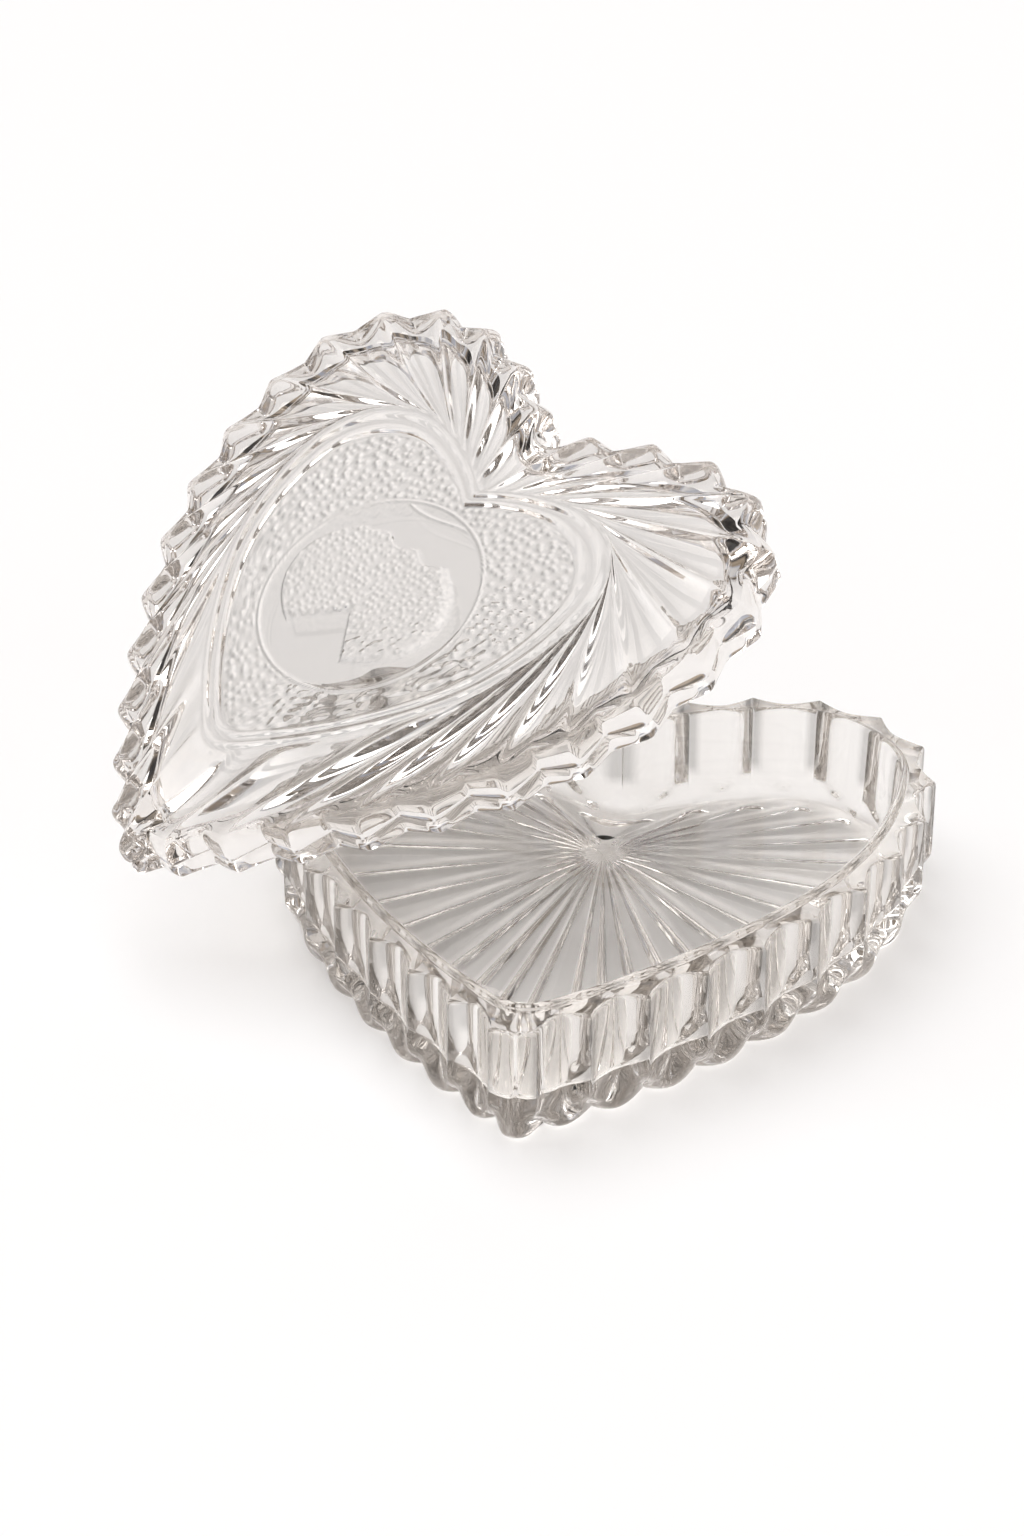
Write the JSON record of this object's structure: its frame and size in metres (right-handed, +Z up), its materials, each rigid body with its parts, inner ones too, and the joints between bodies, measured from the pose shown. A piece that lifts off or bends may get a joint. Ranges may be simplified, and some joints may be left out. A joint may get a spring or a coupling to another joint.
{
  "type": "glass trinket box",
  "caption": "Heart-shaped clear pressed-glass trinket box: ribbed dish with a sunburst floor and a loose feather-cut lid leaning on its rim.",
  "frame": {"origin": "on the underside of the dish, half way between its tip and the crowns of its lobes", "axes": "+Z up out of the dish, -Y towards the heart's tip, +Y towards its notch"},
  "size_m": [0.1414, 0.1468, 0.0817],
  "materials": {
    "clear_glass": "polished"
  },
  "bodies": {
    "dish": {"glass_dish": "clear_glass"},
    "lid": {"glass_lid": "clear_glass"}
  },
  "joints": [
    {"name": "lid_lift", "type": "slide", "parent": "dish", "child": "lid", "axis": [0, 0, 1], "range_m": [0, 0.12]}
  ]
}
